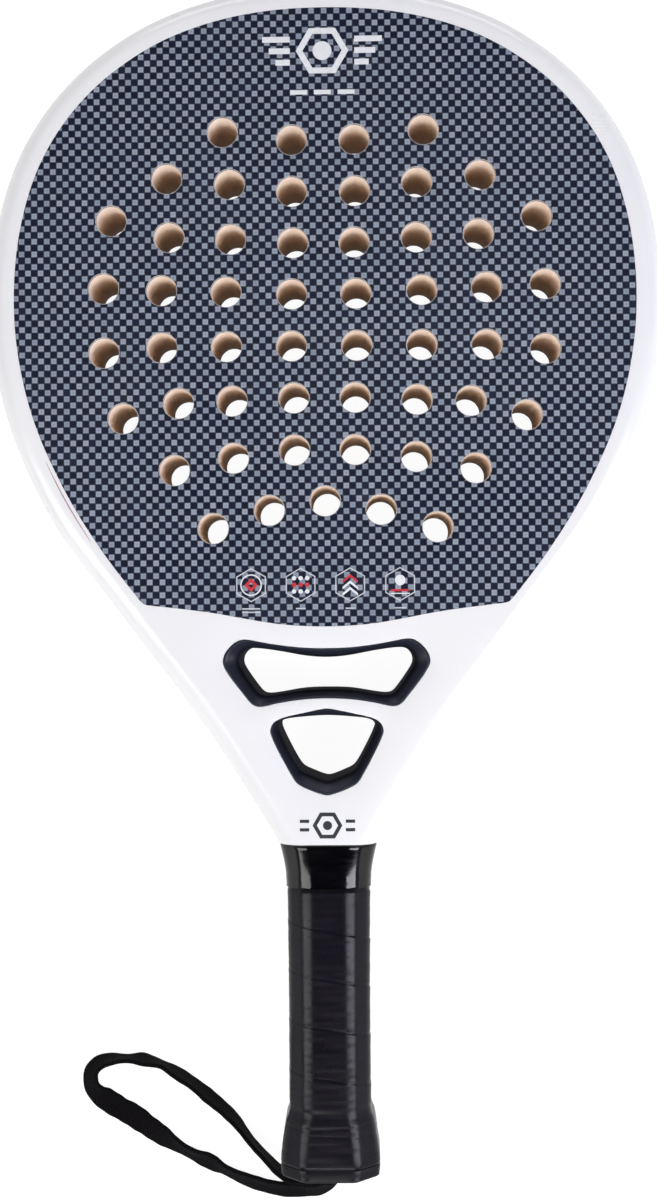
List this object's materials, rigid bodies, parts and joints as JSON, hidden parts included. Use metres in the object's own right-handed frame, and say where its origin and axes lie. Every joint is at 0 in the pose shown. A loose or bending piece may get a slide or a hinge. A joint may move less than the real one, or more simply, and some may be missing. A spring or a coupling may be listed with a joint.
{
  "type": "padel racket",
  "caption": "Teardrop padel racket with a drilled woven face, two throat windows, a wrapped handle and a webbing wrist loop.",
  "frame": {"origin": "middle of the box around the racket without its cord, on the surface that the back face lies on", "axes": "+X across the head, +Y along the handle towards the top of the head, +Z out of the front face"},
  "size_m": [0.2572, 0.4739, 0.038],
  "materials": {
    "white_lacquer": "satin",
    "filler_foam": "matte",
    "woven_laminate": "satin",
    "core_foam": "matte",
    "black_moulding": "satin",
    "handle_resin": "matte",
    "cushion_foam": "matte",
    "gloss_collar": "gloss",
    "grip_polymer": "matte",
    "black_rubber": "matte",
    "steel": "satin",
    "webbing": "matte"
  },
  "bodies": {
    "racket": {"frame": "white_lacquer", "frame_foam_filler": "filler_foam", "back_face_skin": "woven_laminate", "foam_core": "core_foam", "front_face_skin": "woven_laminate", "upper_window_sleeve": "black_moulding", "lower_window_sleeve": "black_moulding", "handle_half_front": "handle_resin", "handle_half_back": "handle_resin", "cushion_underwrap": "cushion_foam", "neck_collar": "gloss_collar", "grip_wrap": "grip_polymer", "butt_cap": "black_rubber", "end_plate": "black_moulding", "cord_anchor_bar": "steel"},
    "wrist_loop": {"wrist_cord": "webbing"}
  },
  "joints": [
    {"name": "wrist_cord_swing", "type": "hinge", "parent": "racket", "child": "wrist_loop", "pos_m": [0, -0.2365, 0], "axis": [0, 0, 1], "range_deg": [0, 170]}
  ]
}
